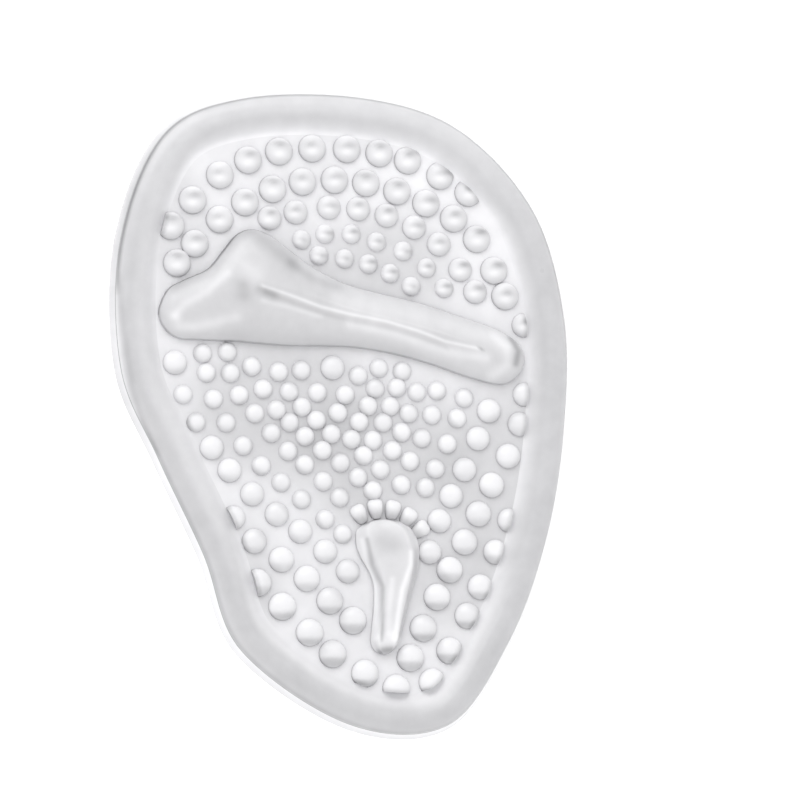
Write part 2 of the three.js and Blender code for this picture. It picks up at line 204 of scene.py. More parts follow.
# Painted highlights and lines of painted shade, by form: width is a share of the width, change is added to
# the tone, and path runs through points as (share of width, share of length). The border's line is painted
# shade along the left, where the mesh has no fold; the ridge's and keyhole's are painted highlights and
# painted shade along their crests, flanks and ends.
PaintedMark = namedtuple("PaintedMark", "width change path")
PAINTED_MARKS = {
    BORDER: (
        (0.008, -0.15, ((-0.474, 0.25), (-0.482, 0.193), (-0.486, 0.132), (-0.486, 0.085), (-0.476, 0.038),
         (-0.458, -0.011))),
    ),
    RIDGE_FORM: (
        (0.004, 0.2, ((-0.171, 0.209), (-0.113, 0.189), (-0.05, 0.165), (0.013, 0.147), (0.091, 0.128),
         (0.162, 0.105), (0.218, 0.083), (0.284, 0.066))),
        (0.006, -0.09, ((-0.165, 0.199), (-0.113, 0.178), (-0.05, 0.155), (0.013, 0.137), (0.091, 0.118),
         (0.162, 0.095), (0.218, 0.074))),
        (0.006, 0.1, ((-0.175, 0.187), (-0.116, 0.17), (-0.053, 0.15))),
        (0.012, 0.14, ((0.01, 0.132), (0.06, 0.12), (0.117, 0.104), (0.18, 0.08), (0.24, 0.062),
         (0.3, 0.05))),
        (0.016, -0.14, ((-0.212, 0.212), (-0.214, 0.2))),
        (0.012, -0.16, ((-0.176, 0.204), (-0.15, 0.192))),
        (0.02, -0.16, ((-0.355, 0.233), (-0.3, 0.252), (-0.243, 0.28), (-0.197, 0.298), (-0.171, 0.294),
         (-0.136, 0.272), (-0.096, 0.236))),
        (0.012, -0.12, ((-0.096, 0.236), (-0.051, 0.207), (0, 0.19))),
        (0.024, 0.1, ((-0.2, 0.24), (-0.18, 0.225))),
        (0.01, 0.12, ((-0.24, 0.235), (-0.29, 0.213), (-0.345, 0.2), (-0.368, 0.185))),
        (0.012, 0.12, ((-0.368, 0.185), (-0.36, 0.168), (-0.33, 0.163), (-0.24, 0.168))),
        (0.022, 0.1, ((0, 0.165), (0.086, 0.143), (0.193, 0.117), (0.299, 0.085), (0.345, 0.066))),
        (0.03, -0.05, ((-0.25, 0.152), (-0.12, 0.132), (0, 0.105), (0.12, 0.075))),
        (0.008, -0.26, ((0.366, 0.073), (0.377, 0.053), (0.366, 0.034))),
        (0.012, 0.12, ((0.33, 0.08), (0.352, 0.06), (0.345, 0.035), (0.31, 0.02))),
        (0.004, -0.3, ((0.29, 0.064),)),
    ),
    KEYHOLE_FORM: (
        (0.005, -0.24, ((-0.03, -0.195), (-0.027, -0.234), (-0.013, -0.27), (-0.025, -0.31),
         (-0.036, -0.349))),
        (0.006, 0.16, ((-0.038, -0.195), (-0.037, -0.22), (-0.024, -0.262), (-0.034, -0.31),
         (-0.046, -0.345))),
        (0.006, 0.2, ((0.062, -0.225), (0.056, -0.243), (0.028, -0.279), (0.01, -0.315), (-0.005, -0.35))),
        (0.01, -0.16, ((0.077, -0.225), (0.07, -0.25), (0.044, -0.285), (0.026, -0.315), (0.01, -0.345))),
        (0.024, -0.12, ((0.005, -0.2), (0.025, -0.21))),
        (0.008, 0.14, ((0.01, -0.262), (-0.006, -0.3), (-0.018, -0.34))),
        (0.014, 0.16, ((-0.035, -0.351), (-0.01, -0.349))),
        (0.009, -0.32, ((-0.035, -0.365), (-0.018, -0.366))),
    ),
}

# Steps of the meshes
CURVE_STEPS = 64
OUTLINE_SIDES = 240
ROUND_STEPS = 3
ROLL_STEPS = 9
SLOPE_STEPS = 12
RIDGE_STEPS = 7
RIDGE_COLUMNS = 110
KEYHOLE_STEPS = 7
KEYHOLE_COLUMNS = 72
NUB_SIDES = 24
PETAL_SIDES = 28
MERGE = 0.002 * MM

# Heights of a dome's rings, in degrees
DOME_RINGS = (0, 12, 24, 38, 52, 66, 78)

# Edges between faces that meet at more than this many degrees are sharp.
SHARP_ANGLE = 32

# Shares of the half width between which the toe reach fades out to the right
TOE_REACH_FADE = (0.3, 0.65)

# Direction that shows upwards in the picture, in the pad's plane, and the way to the camera
TOEWARD = Vector((0.1736, 0.9848))
TO_CAMERA = Vector((-0.2638, -0.0602, 1))

# Tones of painted light and shade of the forms, from 0, darkest, to 1, brightest: each form of the one gel
# gets its own tone of painted light and shade.
# The border's lower tone is partly also the gel's own greyness where it is thick. The lip is a painted
# dark line at the top of the wall, and the cut faces of the nubs are painted dark. The nubs past the toe
# ridge and behind it have their own painted tones.
PAINTED_TONES = {
    UNDERSIDE: 0.75, WALL: 0.89, LIP: 0.3, BORDER: 0.575, FIELD: 0.83, RIDGE_FORM: 0.63,
    KEYHOLE_FORM: 0.73, PETAL_FORM: 0.84, CUT: 0.4,
}
TOE_NUB_PAINTED_TONE = 0.75
HEEL_NUB_PAINTED_TONE = 0.85

# Steepness between which the foot of a form grows dark with a painted rim of shade: 0 is level and 1
# upright
FOOT_STEEPNESS = (0.5, 0.75)
RIDGE_FOOT_STEEPNESS = (0.55, 0.8)
NUB_FOOT_STEEPNESS = (0.56, 0.86)

# Painted light on the border's inner slope: how much brighter it is by side, growing between two values of
# how far round to that side a place lies, and between two shares of the border's width
Slope = namedtuple("Slope", "side round bright across")
SLOPES = (
    Slope("toe", (0.2, 0.9), 0.2, (0.58, 1)),
    Slope("left", (0.5, 0.9), 0.13, (0.38, 0.7)),
    Slope("right", (-0.1, 0.7), 0.2, (0.6, 0.98)),
    Slope("heel", (0.3, 0.8), 0.2, (0.55, 0.82)),
)

# Soft spots of painted shade on the field's floor, and of painted light where grey is below 0: place and
# reach are shares of the pad's width and length, and grey is how much greyer the middle is
Spot = namedtuple("Spot", "across along wide long grey")
LIGHT_AND_SHADE_SPOTS = tuple(Spot(*row) for row in (
    (0.33, 0.25, 0.15, 0.17, -0.06), (0.16, 0.34, 0.16, 0.07, -0.07),
    (0.12, 0.21, 0.2, 0.1, 0.14), (-0.1, 0.25, 0.18, 0.09, 0.05),
    (-0.33, 0.33, 0.12, 0.16, 0.08), (-0.17, 0.03, 0.28, 0.14, 0.18),
    (0.04, -0.08, 0.26, 0.14, 0.18), (0.3, -0.14, 0.2, 0.22, 0.16),
    (-0.3, -0.22, 0.1, 0.12, 0.12), (0.15, -0.27, 0.13, 0.1, 0.14),
))

# Scales of the gel's patterns
WAVE_SCALE = 90.0
CLOUD_SCALE = 420.0
GRAIN_SCALE = 2400.0


def length_of(name, description, value):
    """A length that a user may change, given in millimetres"""
    return FloatProperty(name=name, description=description, default=value * MM, min=0, unit="LENGTH")


def share_of(name, description, value, top=1.0):
    """A plain number from nothing to its top"""
    return FloatProperty(name=name, description=description, default=value, min=0, max=top)


def colour_of(name, description, value):
    """A colour"""
    return FloatVectorProperty(
        name=name, description=description, default=value, min=0, max=1, size=3, subtype="COLOR")


class GelPadSizes(bpy.types.PropertyGroup):
    """Sizes of the pad"""

    length: FloatProperty(
        name="Length", description="Heel end to toe end", default=HIGH.y - LOW.y, unit="LENGTH")
    width: FloatProperty(
        name="Width", description="Side to side at the widest", default=HIGH.x - LOW.x, unit="LENGTH")
    floor: length_of("Floor", "Thickness of the field's floor", 1.8)
    edge_height: length_of("Edge height", "Height of the side wall", 2.0)
    end_margin: length_of("End margin", "From the outline's ends in to the pattern's", 0.5)
    side_margin: length_of("Side margin", "From the outline's sides in to the pattern's", 0.6)
    edge_slope: length_of("Edge slope", "How far the side wall leans in", 0.7)
    edge_round: length_of("Edge round", "Rounding where the side wall meets the underside", 0.25)
    border_width: length_of("Border width", "Outline to the field's floor", 6.7)
    border_height: length_of("Border height", "Top of the rolled border", 3.4)
    border_crest: share_of("Border crest", "Share of its width where it is highest", 0.45)
    ridge_rise: length_of("Ridge rise", "Height of the toe ridge over the floor", 3.4)
    ridge_fullness: share_of("Ridge fullness", "Two is round, more is boxier", 2.3, 6)
    crease_rise: length_of("Crease rise", "Height of the fine line along the ridge's crest", 0.09)
    keyhole_rise: length_of("Keyhole rise", "Height of the keyhole pad over the floor", 2.2)
    keyhole_foot: share_of("Keyhole foot", "Share of its rise that stands straight", 0.35)
    keyhole_shoulder: share_of("Keyhole shoulder", "Share of its half width that slopes", 0.42)
    keyhole_dish: share_of("Keyhole dish", "Share of its rise that its middle is hollow by", 0.1)
    nub_large: length_of("Large nub", "Diameter of the nubs in the outer rows", 4.2)
    nub_medium: length_of("Medium nub", "Diameter of the nubs in between", 3.65)
    nub_small: length_of("Small nub", "Diameter of the nubs in the middle", 2.9)
    toe_reach: share_of("Toe reach", "Share of the border that nubs reach over at the toe", 0.13)
    nub_roundness: share_of("Nub roundness", "Rise of a nub as a share of its radius", 0.62)
    petal_length: length_of("Petal length", "Length of a petal", 3.1)
    petal_width: length_of("Petal width", "Width of a petal", 2.3)
    petal_rise: length_of("Petal rise", "Height of a petal over the floor", 1.1)
    petal_count: IntProperty(name="Petals", description="Petals in the fan", default=5, min=2)


class GelPadLook(bpy.types.PropertyGroup):
    """Finish of the gel"""

    # The gel's colour runs from the shaded colour, where its painted shade is darkest, to the gel colour,
    # where its painted light is brightest
    gel: colour_of("Gel", "Colour of the gel where it gathers the light", (0.965, 0.962, 0.98))
    shaded: colour_of("Deep gel", "Colour of the gel where it is deep and dark", (0.1, 0.1, 0.108))
    roughness: share_of("Roughness", "How matt the gel's skin is", 0.3)
    scatter: share_of("Scatter", "Share of the light that goes into the gel", 0.5)
    scatter_depth: length_of("Scatter depth", "How far light travels in the gel", 1.2)
    coat: share_of("Coat", "Strength of the wet gloss", 0.15)
    waviness: length_of("Waviness", "Height of the soft waves in the skin", 0.03)


class GelPadStage(bpy.types.PropertyGroup):
    """Floor, light and camera"""

    floor: colour_of("Floor", "Colour of the floor", (0.9, 0.9, 0.9))
    floor_glow: share_of("Floor glow", "Light added to the floor", 0.5, 4)
    sky: share_of("Sky", "Strength of the even light all round", 0.9, 4)
    key: share_of("Key light", "Power of the large light, in watts", 1.4, 100)
    scale: share_of("Pixels per millimetre", "Scale of the picture at the pad", 6.77, 50)
    origin_u: share_of("Origin, right", "Pixel across at which the pad's origin shows", 352.8, 800)
    origin_v: share_of("Origin, down", "Pixel down at which the pad's origin shows", 413.1, 800)
    distance: FloatProperty(
        name="Camera distance", description="Camera to the pad", default=1.2, unit="LENGTH")


def fade(value, low, high):
    """0 up to low, 1 from high on, and smooth between them"""
    way = min(1.0, max(0.0, (value - low) / (high - low)))
    return way * way * (3 - 2 * way)


def smooth(before, start, end, after, way):
    """Point on the Catmull-Rom curve from start to end"""
    square = way * way
    cube = square * way
    return [
        0.5 * (2 * b + (c - a) * way + (2 * a - 5 * b + 4 * c - d) * square
               + (3 * b - a - 3 * c + d) * cube)
        for a, b, c, d in zip(before, start, end, after)
    ]


def closed_curve(corners, steps):
    """Points on the closed smooth curve through the corners, steps on each stretch"""
    count = len(corners)
    return [
        smooth(corners[i - 1], corners[i], corners[(i + 1) % count], corners[(i + 2) % count],
               step / steps)
        for i in range(count)
        for step in range(steps)
    ]


def open_curve(points, way):
    """Point on the open smooth curve through the points, way from 0 to 1"""
    last = len(points) - 1
    place = way * last
    i = min(int(place), max(last - 1, 0))
    return smooth(points[max(i - 1, 0)], points[i], points[min(i + 1, last)],
                  points[min(i + 2, last)], place - i)


def even_points(curve, count):
    """Points at equal steps along a closed curve"""
    ends = curve[1:] + curve[:1]
    runs = [math.dist(a, b) for a, b in zip(curve, ends)]
    step = sum(runs) / count
    points = []
    walked = 0.0
    for start, end, run in zip(curve, ends, runs):
        while len(points) < count and len(points) * step < walked + run:
            way = (len(points) * step - walked) / run
            points.append([a + (b - a) * way for a, b in zip(start, end)])
        walked += run
    return points


def place_of(sizes, across, along):
    """Flat place of shares of the pattern's width and length"""
    return Vector((across * (sizes.width - 2 * sizes.side_margin),
                   along * (sizes.length - 2 * sizes.end_margin)))


def picture_axes(way):
    """A flat direction as how far it goes to the right and upwards in the picture"""
    return Vector((way.x * TOEWARD.y - way.y * TOEWARD.x, way.dot(TOEWARD)))


def outline_points(sizes, count=OUTLINE_SIDES):
    """Outline of the pad, with its box brought to the pad's width and length"""
    points = even_points(closed_curve(OUTLINE, CURVE_STEPS), count)
    low = [min(axis) for axis in zip(*points)]
    high = [max(axis) for axis in zip(*points)]
    spans = (sizes.width, sizes.length)
    return [
        Vector([(value - (a + b) / 2) / (b - a) * span
                for value, a, b, span in zip(point, low, high, spans)])
        for point in points
    ]


def foot_points(sizes, count=OUTLINE_SIDES):
    """Line that the nubs end at: the foot of the border, and a little up it at the toe end"""
    points = outline_points(sizes, count)
    inset = []
    for i, point in enumerate(points):
        inward = (points[(i + 1) % count] - points[i - 1]).orthogonal().normalized()
        toward = max(0, point.y / (sizes.length / 2))
        right = fade(point.x / (sizes.width / 2), *TOE_REACH_FADE)
        over = sizes.toe_reach * toward ** 2 * (1 - right)
        inset.append(point + inward * sizes.border_width * (1 - over))
    return inset


def outline_face(shape, points, height):
    """Face that fills a closed outline at a height"""
    count = len(points)
    bmesh.ops.create_circle(shape, cap_ends=True, segments=count, radius=1)
    around = sorted(shape.verts, key=lambda vert: math.atan2(vert.co.y, vert.co.x))
    start = min(range(count), key=lambda i: abs(math.atan2(points[i].y, -points[i].x)))
    for i, vert in enumerate(around):
        vert.co = (*points[(start + i) % count], height)
    face = shape.faces[:][0]
    face.normal_update()
    return face


def smooth_sections(rows, mirrored, steps):
    """Rows of a table with smooth steps between them, rounded at both ends by a mirrored row"""
    section = type(rows[0])
    guides = [mirrored(rows[1]), *rows, mirrored(rows[-2])]
    smoothed = [
        section(*smooth(*guides[i:i + 4], step / steps))
        for i in range(len(rows) - 1)
        for step in range(steps)
    ]
    return [*smoothed, rows[-1]]


def new_shape():
    """Empty bmesh whose verts can hold where they lie on their form"""
    shape = bmesh.new()
    shape.verts.layers.float_vector.new("lie")
    return shape


def work_object(name, shape, form=None):
    """Object of a finished bmesh, with each face's form kept as its material slot"""
    mesh = bpy.data.meshes.new(name)
    for _ in range(FORM_COUNT):
        mesh.materials.append(None)
    spot = shape.verts.layers.float_vector["lie"]
    lie = shape.loops.layers.uv.new("lie")
    for face in shape.faces:
        face.smooth = True
        if form is not None:
            face.material_index = form
        for loop in face.loops:
            loop[lie].uv = loop.vert[spot].xy
    shape.verts.layers.float_vector.remove(spot)
    shape.to_mesh(mesh)
    shape.free()
    piece = bpy.data.objects.new(name, mesh)
    bpy.context.scene.collection.objects.link(piece)
    return piece


def combine(name, base, operands, operation):
    """Object of the base joined with or cut to the operands, all of which are used up"""
    scene = bpy.context.scene
    group = bpy.data.collections.new(name)
    scene.collection.children.link(group)
    for piece in operands:
        scene.collection.objects.unlink(piece)
        group.objects.link(piece)
    change = base.modifiers.new("change", "BOOLEAN")
    change.operation = operation
    change.operand_type = "COLLECTION"
    change.collection = group
    change.solver = "MANIFOLD"
    change.material_mode = "INDEX"
    bpy.context.view_layer.update()
    depsgraph = bpy.context.evaluated_depsgraph_get()
    mesh = bpy.data.meshes.new_from_object(base.evaluated_get(depsgraph))
    for piece in [*operands, base]:
        bpy.data.meshes.remove(piece.data)
    bpy.data.collections.remove(group)
    mesh.name = name
    result = bpy.data.objects.new(name, mesh)
    scene.collection.objects.link(result)
    return result


def close_up(shape):
    """Merges the seams and poles of a shape and turns its faces outwards"""
    bmesh.ops.remove_doubles(shape, verts=shape.verts, dist=MERGE)
    bmesh.ops.dissolve_degenerate(shape, edges=shape.edges, dist=MERGE)
    bmesh.ops.recalc_face_normals(shape, faces=shape.faces)
    open_edges = [edge for edge in shape.edges if not edge.is_manifold]
    if open_edges:
        raise RuntimeError(f"the shape has {len(open_edges)} open edges")


def raised_form(columns, sections, place):
    """Closed skin over sections, laid by place(section, side from 1 to -1, whether in the floor)"""
    shape = new_shape()
    spot = shape.verts.layers.float_vector["lie"]
    rows = len(sections) - 1
    around = columns + 3
    bmesh.ops.create_grid(shape, x_segments=around, y_segments=rows, size=1)
    for vert in shape.verts:
        turn = round((vert.co.x + 1) / 2 * around) % around
        way = (vert.co.y + 1) / 2
        section = sections[round(way * rows)]
        side = math.cos(min(max(turn - 1, 0), columns) / columns * math.pi)
        rooted = turn in (0, around - 1)
        vert.co = place(section, side, rooted)
        vert[spot] = (way, side, 0)
    close_up(shape)
    return shape


def dome(sides):
    """Dome of radius 1 and rise 1 whose foot goes down to -1, spun from half its section"""
    shape = new_shape()
    spot = shape.verts.layers.float_vector["lie"]
    profile = [(0, -1), (1, -1)]
    for ring in DOME_RINGS:
        angle = math.radians(ring)
        profile.append((math.cos(angle), math.sin(angle)))
    profile.append((0, 1))
    first, *others = [Vector((x, 0, z)) for x, z in profile]
    last = shape.verts.new(first)
    for point in others:
        grown = bmesh.ops.extrude_vert_indiv(shape, verts=[last])
        last = grown["verts"][0]
        last.co = point
    bmesh.ops.spin(
        shape, geom=shape.verts[:] + shape.edges[:], cent=(0, 0, 0), axis=(0, 0, 1),
        angle=math.tau, steps=sides, use_merge=True)
    close_up(shape)
    for vert in shape.verts:
        vert[spot] = (vert.co.x, vert.co.y, 0)
    return shape


class MakeSole(bpy.types.Operator):
    """Sole with its flat underside, side wall, rolled border and the floor of the field"""

    bl_idname = "gel_pad.make_sole"
    bl_label = "Sole"

    def execute(self, context):
        sizes = context.scene.gel_pad_sizes
        shape = new_shape()
        spot = shape.verts.layers.float_vector["lie"]
        underside = outline_face(shape, outline_points(sizes), sizes.edge_round)
        grown = bmesh.ops.extrude_face_region(shape, geom=[underside])
        top = next(item for item in grown["geom"] if isinstance(item, bmesh.types.BMFace))
        for face, upwards in ((top, True), (underside, False)):
            face.normal_update()
            if (face.normal.z > 0) != upwards:
                face.normal_flip()
        for inset, drop in self.rounding(sizes):
            self.grow(shape, underside, inset, drop, WALL)
        inset_so_far = 0.0
        for form, inset, lift in self.steps(sizes):
            self.grow(shape, top, inset, lift, form)
            inset_so_far += inset
            for vert in top.verts:
                vert[spot] = (inset_so_far / sizes.border_width, 0, 0)
        top.material_index = FIELD
        underside.material_index = UNDERSIDE
        close_up(shape)
        work_object("sole", shape)
        return {"FINISHED"}

    def grow(self, shape, face, inset, lift, form):
        """Draws a face in and out along its normal, with a ring of faces of one form round it"""
        ring = bmesh.ops.inset_region(shape, faces=[face], thickness=inset, depth=lift,
                                      use_boundary=True, use_even_offset=True)
        for side in ring["faces"]:
            side.material_index = form

    def rounding(self, sizes):
        """Steps of (inset, drop) round the underside's rim"""
        turns = [i / ROUND_STEPS * math.pi / 2 for i in range(ROUND_STEPS + 1)]
        for a, b in zip(turns, turns[1:]):
            yield (sizes.edge_round * (math.cos(a) - math.cos(b)),
                   sizes.edge_round * (math.sin(b) - math.sin(a)))

    def steps(self, sizes):
        """Steps of (form, inset, lift) up the wall, over the roll and down the slope to the floor"""
        crest = sizes.border_width * sizes.border_crest
        slope, edge, top = sizes.edge_slope, sizes.edge_height, sizes.border_height
        lip = 0.9
        section = [
            (WALL, 0, sizes.edge_round),
            (WALL, slope * lip, edge * lip),
            (LIP, slope, edge),
        ]
        for i in range(1, ROLL_STEPS + 1):
            turn = i / ROLL_STEPS * math.pi / 2
            inset = crest - (crest - slope) * math.cos(turn)
            section.append((BORDER, inset, edge + (top - edge) * math.sin(turn)))
        for i in range(1, SLOPE_STEPS + 1):
            way = i / SLOPE_STEPS
            drop = (1 - math.cos(way * math.pi)) / 2
            inset = crest + (sizes.border_width - crest) * way
            section.append((BORDER, inset, top + (sizes.floor - top) * drop))
        return [(b[0], b[1] - a[1], b[2] - a[2]) for a, b in zip(section, section[1:])]


class MakeRidge(bpy.types.Operator):
    """Ridge across the pad, which the toes curl over, with a fine line along its crest"""

    bl_idname = "gel_pad.make_ridge"
    bl_label = "Toe ridge"

    def execute(self, context):
        sizes = context.scene.gel_pad_sizes

        def mirrored(row):
            return row._replace(toe=row.heel, heel=row.toe, rise=-row.rise)

        def place(section, side, rooted):
            reach = section.toe - section.crest if side > 0 else section.crest - section.heel
            z = sizes.floor / 2
            if not rooted:
                bow = (1 - abs(side) ** sizes.ridge_fullness) ** (1 / sizes.ridge_fullness)
                z = sizes.floor + section.rise * sizes.ridge_rise * bow
                z += sizes.crease_rise * self.crease(section.across, side)
            flat = place_of(sizes, section.across, section.crest + reach * side)
            return Vector((*flat, z))

        sections = smooth_sections(RIDGE, mirrored, RIDGE_STEPS)
        work_object("ridge", raised_form(RIDGE_COLUMNS, sections, place), RIDGE_FORM)
        return {"FINISHED"}

    def crease(self, across, side):
        """Fine line that runs from the peak to a share of the way along, with a hollow below it"""
        start, end, ease = -0.2, 0.28, 0.05
        line_width = 0.07
        hollow_side, hollow_width, hollow_depth = -0.26, 0.12, 0.8
        strength = min(1, max(0, (across - start) / ease)) * min(1, max(0, (end - across) / ease))
        line = math.exp(-(side / line_width) ** 2)
        hollow = math.exp(-((side - hollow_side) / hollow_width) ** 2)
        return strength * (line - hollow_depth * hollow)


class MakeKeyhole(bpy.types.Operator):
    """Keyhole-shaped pad behind the ball of the foot"""

    bl_idname = "gel_pad.make_keyhole"
    bl_label = "Keyhole pad"

    def execute(self, context):
        sizes = context.scene.gel_pad_sizes
        squareness = 12

        def mirrored(row):
            return row._replace(left=row.right, right=row.left, rise=-row.rise)

        def place(section, side, rooted):
            z = sizes.floor / 2
            if not rooted:
                stand = (1 - abs(side) ** squareness) ** (1 / squareness)
                slope = fade(1 - abs(side), 0, sizes.keyhole_shoulder)
                hollow = sizes.keyhole_dish * fade(1 - abs(side), sizes.keyhole_shoulder, 1)
                bow = sizes.keyhole_foot * stand + (1 - sizes.keyhole_foot) * slope - hollow
                z = sizes.floor + section.rise * sizes.keyhole_rise * bow
            across = section.left + (section.right - section.left) * (side + 1) / 2
            return Vector((*place_of(sizes, across, section.along), z))

        sections = smooth_sections(KEYHOLE, mirrored, KEYHOLE_STEPS)
        work_object("keyhole", raised_form(KEYHOLE_COLUMNS, sections, place), KEYHOLE_FORM)
        return {"FINISHED"}


class MakePetals(bpy.types.Operator):
    """Petals that spread from the head of the keyhole"""

    bl_idname = "gel_pad.make_petals"
    bl_label = "Petals"

    def execute(self, context):
        sizes = context.scene.gel_pad_sizes
        middle = Vector((*place_of(sizes, FAN.across, FAN.along), sizes.floor))
        reach = place_of(sizes, FAN.radius, 0).x
        squareness = 3
        taper = 0.22
        for i in range(sizes.petal_count):
            way = i / (sizes.petal_count - 1)
            turn = math.radians(FAN.first + (FAN.last - FAN.first) * way)
            shape = dome(PETAL_SIDES)
            for vert in shape.verts:
                x, y = abs(vert.co.x), abs(vert.co.y)
                flat = math.hypot(x, y)
                if flat > 0:
                    square = flat / (x ** squareness + y ** squareness) ** (1 / squareness)
                    vert.co.x *= square
                    vert.co.y *= square * (1 + taper * vert.co.x)
            out = Vector((math.cos(turn), math.sin(turn), 0))
            bmesh.ops.transform(
                shape, verts=shape.verts,
                matrix=Matrix.Translation(middle + out * reach)
                @ Matrix.Rotation(turn, 4, "Z")
                @ Matrix.Diagonal((sizes.petal_length / 2, sizes.petal_width / 2,
                                   sizes.petal_rise, 1)))
            work_object(f"petal_{i + 1}", shape, PETAL_FORM)
        return {"FINISHED"}


def nub_places(sizes):
    """Centre and radius of every nub"""
    diameters = {"large": sizes.nub_large, "medium": sizes.nub_medium, "small": sizes.nub_small}
    for row in NUB_ROWS:
        for i in range(row.count):
            way = i / (row.count - 1) if row.count > 1 else 0
            across, along = open_curve(row.path, way)
            radius = (diameters[row.first] * (1 - way) + diameters[row.last] * way) / 2
            yield Vector((*place_of(sizes, across, along), sizes.floor)), radius


class MakeNubs(bpy.types.Operator):
    """Round nubs in their rows"""

    bl_idname = "gel_pad.make_nubs"
    bl_label = "Nubs"

    def execute(self, context):
        sizes = context.scene.gel_pad_sizes
        nubs = []
        for number, (centre, radius) in enumerate(nub_places(sizes)):
            shape = dome(NUB_SIDES)
            size = Matrix.Diagonal((radius, radius, radius * sizes.nub_roundness, 1))
            bmesh.ops.transform(shape, verts=shape.verts, matrix=Matrix.Translation(centre) @ size)
            nubs.append(work_object(f"nub_{number + 1}", shape, NUB_FORM))
        field = new_shape()
        block = outline_face(field, foot_points(sizes), 0)
        grown = bmesh.ops.extrude_face_region(field, geom=[block])
        top = [item for item in grown["geom"] if isinstance(item, bmesh.types.BMVert)]
        height = sizes.border_height + sizes.nub_large
        bmesh.ops.translate(field, verts=top, vec=(0, 0, height))
        close_up(field)
        whole = combine("whole_nubs", nubs[0], nubs[1:], "UNION")
        combine("nubs", whole, [work_object("field", field, CUT)], "INTERSECT")
        return {"FINISHED"}


class FusePad(bpy.types.Operator):
    """Fuses the sole and all that is raised from it into one body of gel"""

    bl_idname = "gel_pad.fuse"
    bl_label = "Fuse in one body"

    def execute(self, context):
        scene = context.scene
        sole = bpy.data.objects["sole"]
        raised = [piece for piece in scene.collection.objects
                  if piece.type == "MESH" and piece != sole and "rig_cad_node" not in piece]
        pad = combine(PIECE, sole, raised, "UNION")
        mesh = pad.data
        shape = bmesh.new()
        shape.from_mesh(mesh)
        bmesh.ops.remove_doubles(shape, verts=shape.verts, dist=MERGE)
        bmesh.ops.dissolve_degenerate(shape, edges=shape.edges, dist=MERGE)
        shape.to_mesh(mesh)
        shape.free()
        mesh.shade_smooth()
        mesh.set_sharp_from_angle(angle=math.radians(SHARP_ANGLE))
        self.keep_painted_shading(mesh, scene.gel_pad_sizes)
        mesh.materials.clear()
        mesh.materials.append(gel_material(scene.gel_pad_look, scene.gel_pad_sizes))
        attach(pad, "root")
        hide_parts(NODE)
        return {"FINISHED"}

    def keep_painted_shading(self, mesh, sizes):
        """Keeps the painted light and shade of the gel as a tone on the corners of the mesh, and which
        faces are the floor
        """
        tones = PaintedShading(sizes)
        lies = [item.vector for item in mesh.attributes["lie"].data]
        normals = mesh.corner_normals
        values = []
        on_floor = []
        for face in mesh.polygons:
            form = face.material_index
            on_floor.append(float(form == FIELD))
            for corner in face.loop_indices:
                place = mesh.vertices[mesh.loops[corner].vertex_index].co
                values.append(tones.at(form, place, lies[corner], normals[corner].vector))
            face.use_smooth = form != UNDERSIDE
            face.material_index = 0
        mesh.attributes.new("tone", "FLOAT", "CORNER").data.foreach_set("value", values)
        mesh.attributes.new("field", "FLOAT", "FACE").data.foreach_set("value", on_floor)
        mesh.attributes.remove(mesh.attributes["lie"])


